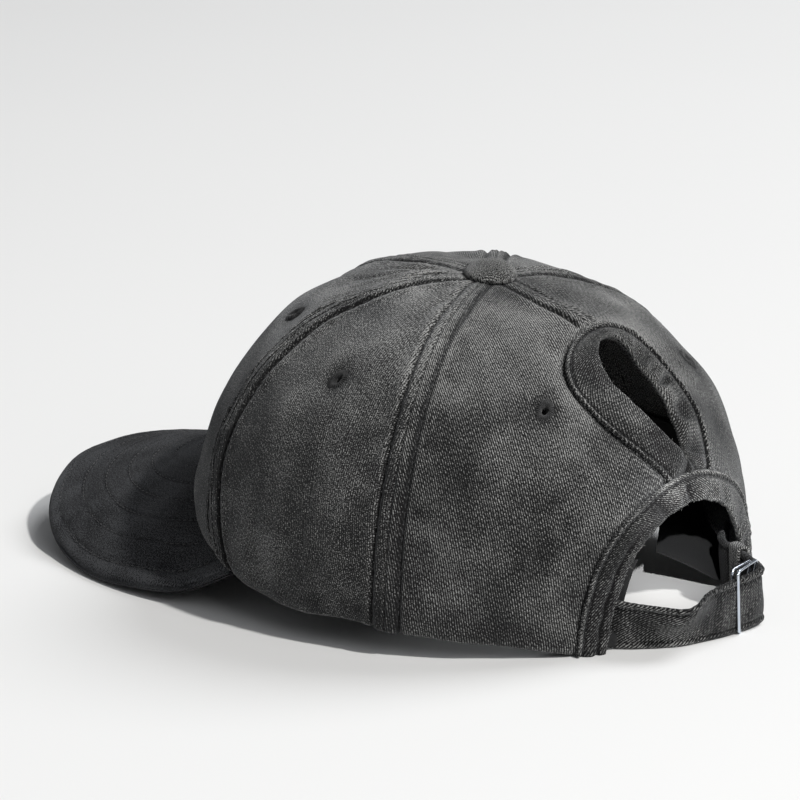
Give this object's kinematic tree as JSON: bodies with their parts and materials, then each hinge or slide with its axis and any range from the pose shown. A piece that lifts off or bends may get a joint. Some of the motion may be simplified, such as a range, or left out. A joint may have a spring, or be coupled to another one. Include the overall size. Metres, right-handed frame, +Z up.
{
  "type": "ponytail baseball cap",
  "caption": "Soft cloth baseball cap with a curved peak, a half-moon back opening with a buckled strap, and a ponytail slot above it.",
  "frame": {"origin": "bottom centre of the cap's box, on the surface that it rests on", "axes": "+Z up, the peak points to -Y, the back opening faces +Y, the wearer's left is +X"},
  "size_m": [0.1714, 0.2873, 0.1134],
  "materials": {
    "twill": "washed black cotton twill, matt",
    "worn_twill": "washed black cotton twill with paler worn edges, matt",
    "peak_twill": "washed black cotton twill, topstitched, matt",
    "thread": "dark sewing thread, matt",
    "lining": "dark cotton band, matt",
    "peak_board": "bent sheet, matt",
    "steel_wire": "bright drawn wire"
  },
  "bodies": {
    "root": {"panel_front_left": "twill", "panel_front_right": "twill", "panel_side_left": "twill", "panel_side_right": "twill", "panel_back_left": "twill", "panel_back_right": "twill", "eyelet_front_left": "thread", "eyelet_front_right": "thread", "eyelet_side_left": "thread", "eyelet_side_right": "thread", "eyelet_back_left": "thread", "eyelet_back_right": "thread", "crown_button": "worn_twill", "arch_binding": "worn_twill", "slot_binding": "worn_twill", "peak_top_cover": "peak_twill", "peak_board": "peak_board", "peak_under_cover": "peak_twill", "sweatband": "lining", "leg_tape": "lining", "strap": "worn_twill", "strap_keeper": "worn_twill", "buckle": "steel_wire"}
  },
  "joints": []
}
